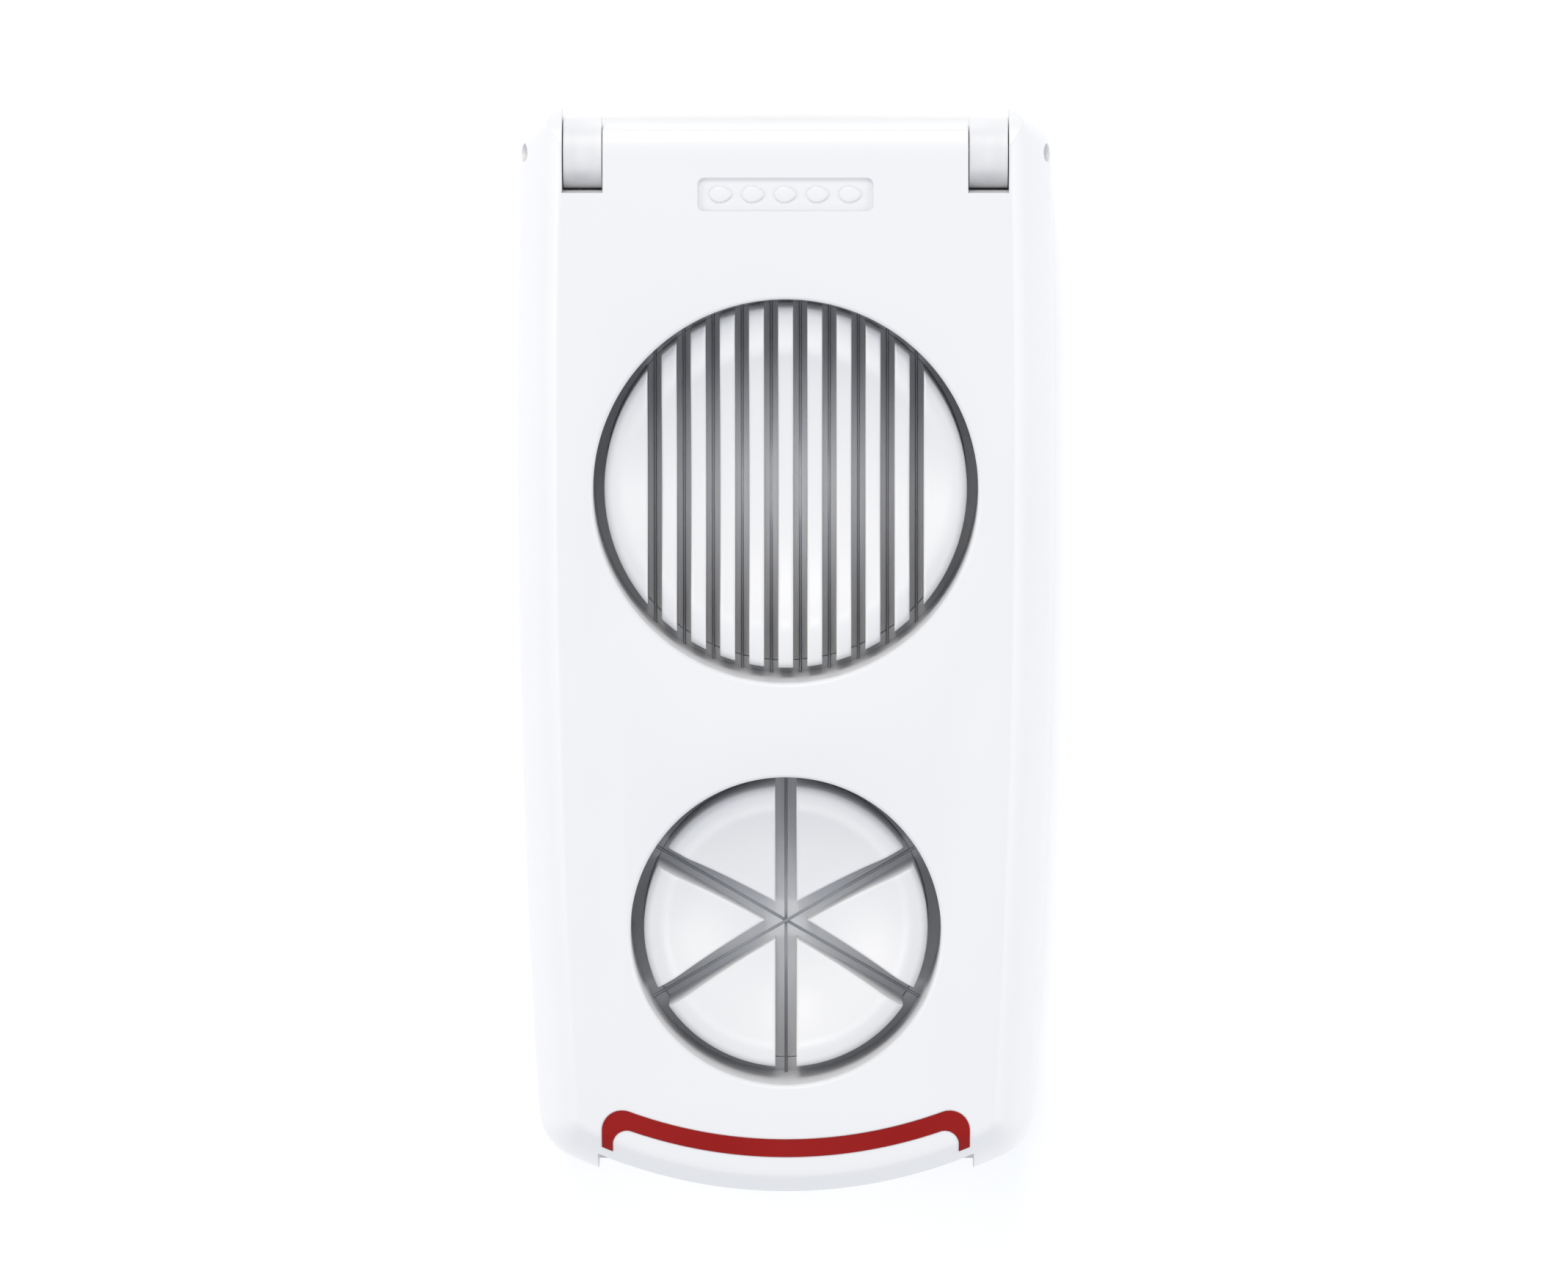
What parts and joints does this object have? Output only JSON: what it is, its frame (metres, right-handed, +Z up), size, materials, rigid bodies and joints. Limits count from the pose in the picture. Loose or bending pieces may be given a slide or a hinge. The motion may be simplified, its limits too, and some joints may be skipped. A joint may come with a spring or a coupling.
{
  "type": "egg slicer",
  "caption": "Hinged two-sided egg cutter: a wire-strung lid closes over a slotted slicing cup and a slotted wedge cup on one long base.",
  "frame": {"origin": "on the surface it stands on, under the middle of the closed slicer's box", "axes": "+Z up, +Y from the lip towards the hinge, +X to the right as seen from the lip's end with the hinge at the far end"},
  "size_m": [0.0908, 0.1839, 0.0362],
  "materials": {
    "lid_plastic": "smooth white moulded plastic, soft gloss",
    "liner_plastic": "smooth white moulded plastic",
    "base_plastic": "smooth white moulded plastic, soft gloss",
    "cup_plastic": "smooth white moulded plastic",
    "grip_red": "soft-touch dark red inlay, fine texture",
    "wire_steel": "drawn stainless wire",
    "pin_steel": "turned stainless pin",
    "foot_rubber": "matt light grey rubber"
  },
  "bodies": {
    "base": {"base_housing": "base_plastic", "slicing_cup": "cup_plastic", "wedge_cup": "cup_plastic", "foot_front_left": "foot_rubber", "foot_front_right": "foot_rubber", "foot_back_left": "foot_rubber", "foot_back_right": "foot_rubber"},
    "lid": {"lid_cover": "lid_plastic", "lid_liner": "liner_plastic", "grip_inlay": "grip_red", "hinge_pin_left": "pin_steel", "hinge_pin_right": "pin_steel", "slicing_wire_1": "wire_steel", "slicing_wire_2": "wire_steel", "slicing_wire_3": "wire_steel", "slicing_wire_4": "wire_steel", "slicing_wire_5": "wire_steel", "slicing_wire_6": "wire_steel", "slicing_wire_7": "wire_steel", "slicing_wire_8": "wire_steel", "slicing_wire_9": "wire_steel", "slicing_wire_10": "wire_steel", "wedge_wire_1": "wire_steel", "wedge_wire_2": "wire_steel", "wedge_wire_3": "wire_steel"}
  },
  "joints": [
    {"name": "lid_hinge", "type": "hinge", "parent": "base", "child": "lid", "pos_m": [0, 0.0846, 0.02815], "axis": [-1, 0, 0], "range_deg": [0, 105]}
  ]
}
